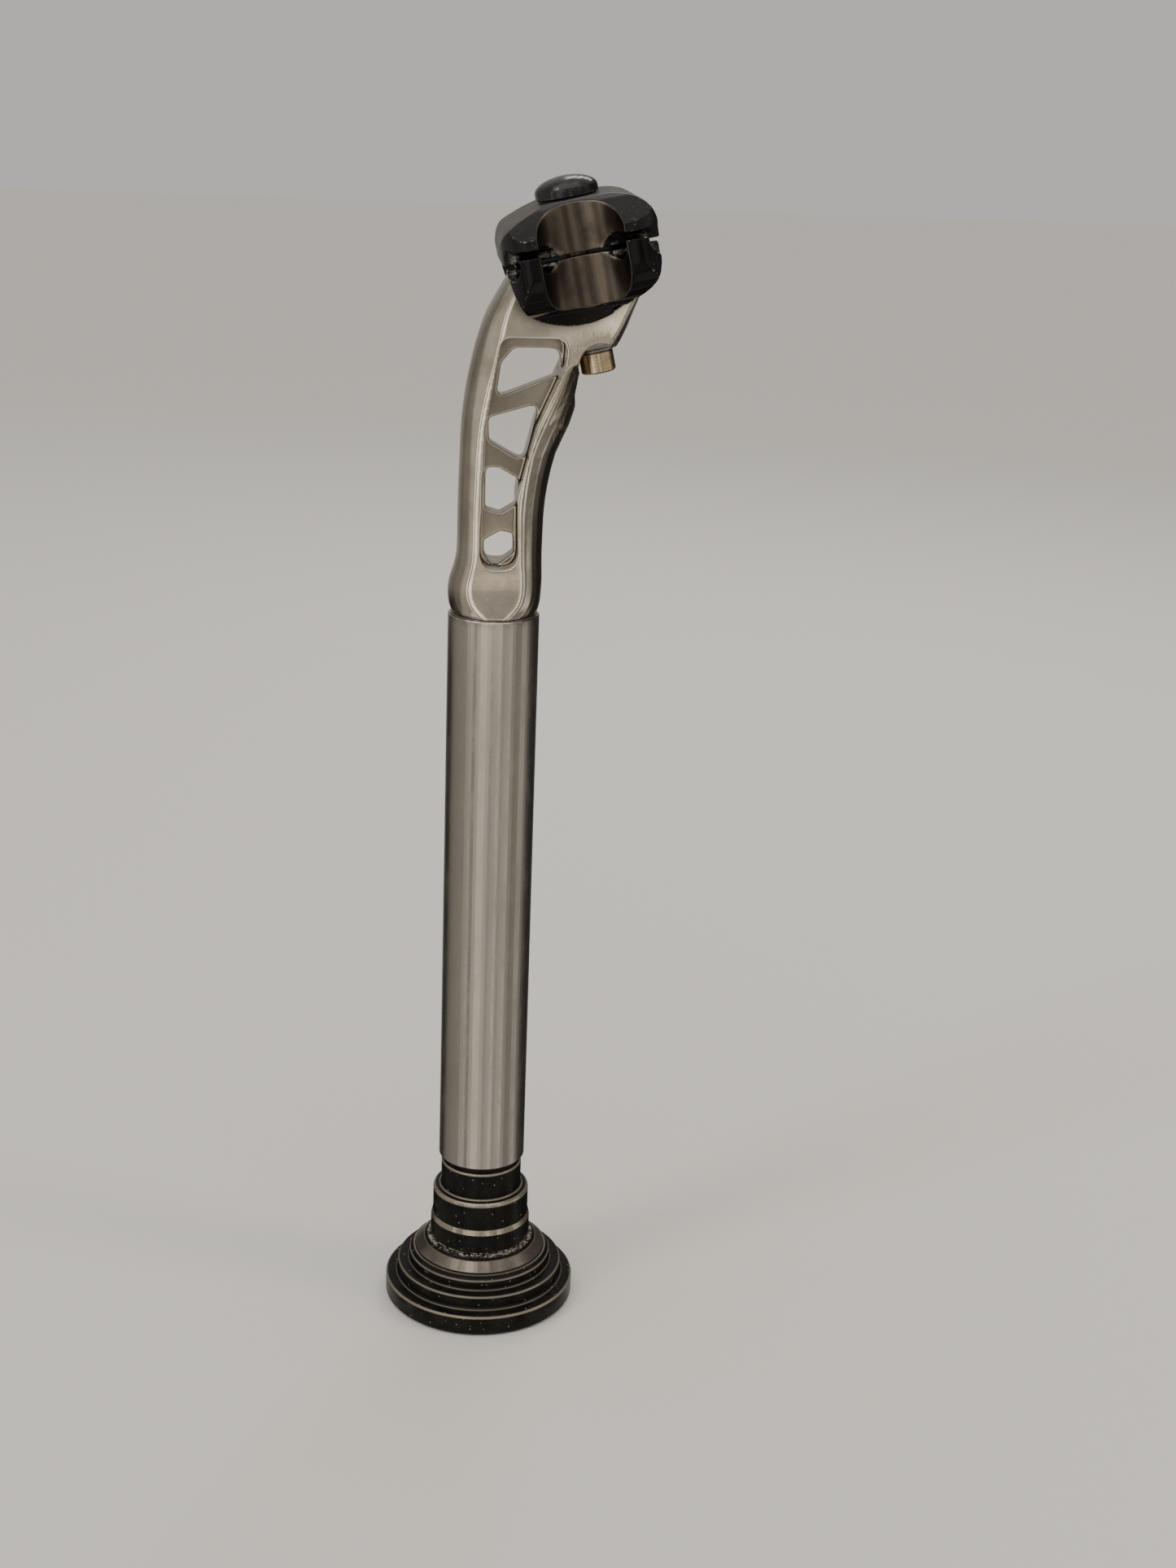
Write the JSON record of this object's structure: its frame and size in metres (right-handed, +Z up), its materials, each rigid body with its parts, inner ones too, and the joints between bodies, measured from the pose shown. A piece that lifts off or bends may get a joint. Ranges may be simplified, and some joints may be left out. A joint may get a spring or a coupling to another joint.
{
  "type": "bicycle seatpost",
  "caption": "Setback bicycle seatpost with a trussed neck and a single-bolt saddle clamp, standing on a round stepped stand.",
  "frame": {"origin": "centre of the flat underside of the stand's disc, on the tube's axis", "axes": "+Z up along the tube, +X towards the rear of the bicycle (the way the clamp is set back), +Y across the saddle rails"},
  "size_m": [0.0731, 0.0606, 0.3538],
  "materials": {
    "black_stand": "semi-gloss black with bright worn edges",
    "satin_aluminium": "satin",
    "polished_aluminium": "polished",
    "black_anodised": "satin black anodised",
    "gloss_black": "gloss black",
    "zinc_steel": "yellow zinc plated",
    "plain_steel": "machined"
  },
  "bodies": {
    "stand": {"stand_base": "black_stand", "stand_bush": "black_stand"},
    "post": {"seat_tube": "satin_aluminium", "neck_forging": "polished_aluminium"},
    "cradle": {"lower_cradle": "gloss_black", "seat_washer": "plain_steel", "flat_washer": "plain_steel"},
    "top_clamp": {"upper_clamp": "black_anodised", "dome_nut": "gloss_black"},
    "bolt": {"clamp_bolt": "zinc_steel"}
  },
  "joints": [
    {"name": "post_lift", "type": "slide", "parent": "stand", "child": "post", "axis": [0, 0, 1], "range_m": [0, 0.06]},
    {"name": "clamp_tilt", "type": "hinge", "parent": "post", "child": "cradle", "pos_m": [0.021, 0, 0.3341], "axis": [0, -1, 0], "range_deg": [-3, 8]},
    {"name": "clamp_open", "type": "slide", "parent": "cradle", "child": "top_clamp", "axis": [-0.2164, 0, 0.9763], "range_m": [0, 0.006]},
    {"name": "bolt_turn", "type": "hinge", "parent": "cradle", "child": "bolt", "pos_m": [0.021, 0, 0.3341], "axis": [-0.2164, 0, 0.9763], "range_deg": [0, 2160]}
  ],
  "couplings": [
    {"joint": "bolt_turn", "follows": "clamp_open", "rad_per_m": 6283.2}
  ]
}
